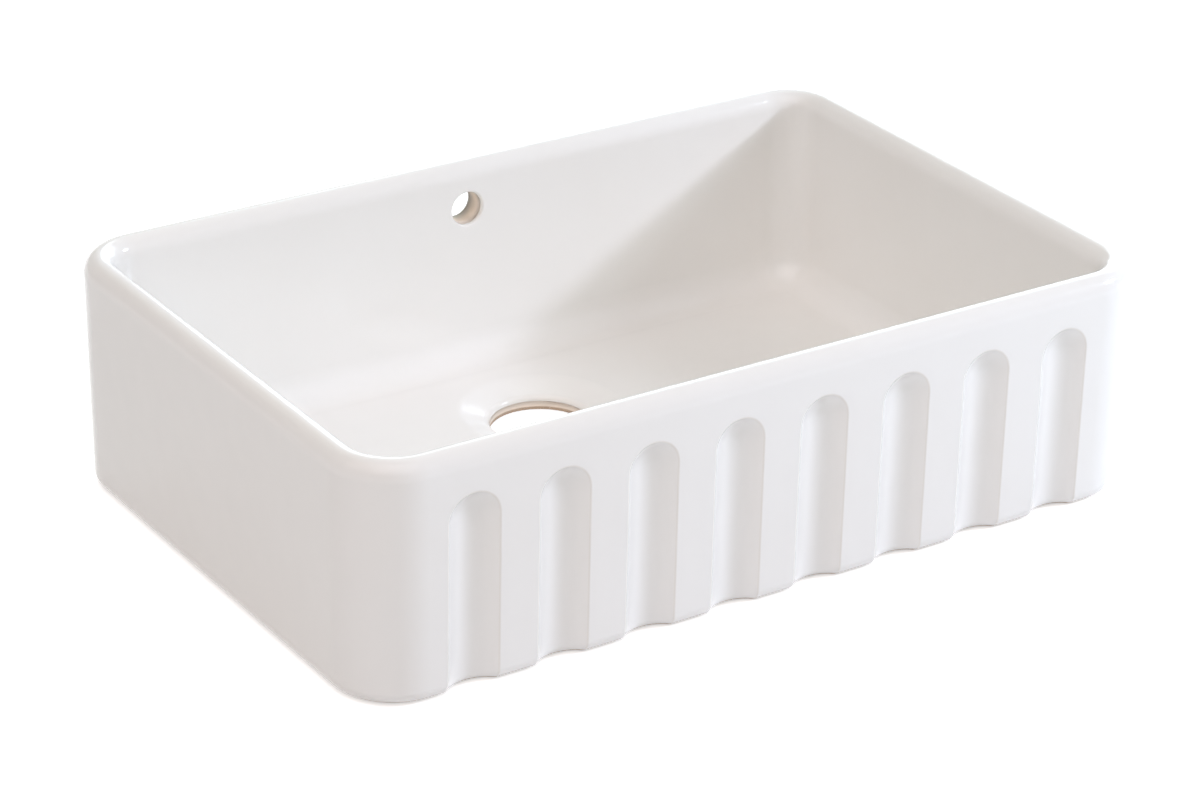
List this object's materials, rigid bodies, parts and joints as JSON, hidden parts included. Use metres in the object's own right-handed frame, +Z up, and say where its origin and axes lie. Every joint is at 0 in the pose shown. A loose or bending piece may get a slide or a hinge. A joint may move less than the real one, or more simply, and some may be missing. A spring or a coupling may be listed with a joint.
{
  "type": "farmhouse apron front sink",
  "caption": "Rectangular white fireclay kitchen sink with an open bowl, rounded rim, fluted apron front, round waste outlet in a dished floor and an overflow hole in the back wall.",
  "frame": {"origin": "middle of the flat underside, in plan the middle of the block", "axes": "+X to the right seen from the apron, along the long side; +Y from the fluted apron to the back wall; +Z up"},
  "size_m": [0.762, 0.508, 0.208],
  "materials": {
    "fireclay": "bare fired clay, matt",
    "glaze": "warm white gloss glaze"
  },
  "bodies": {
    "root": {"fireclay_body": "fireclay", "glaze_coat": "glaze"}
  },
  "joints": []
}
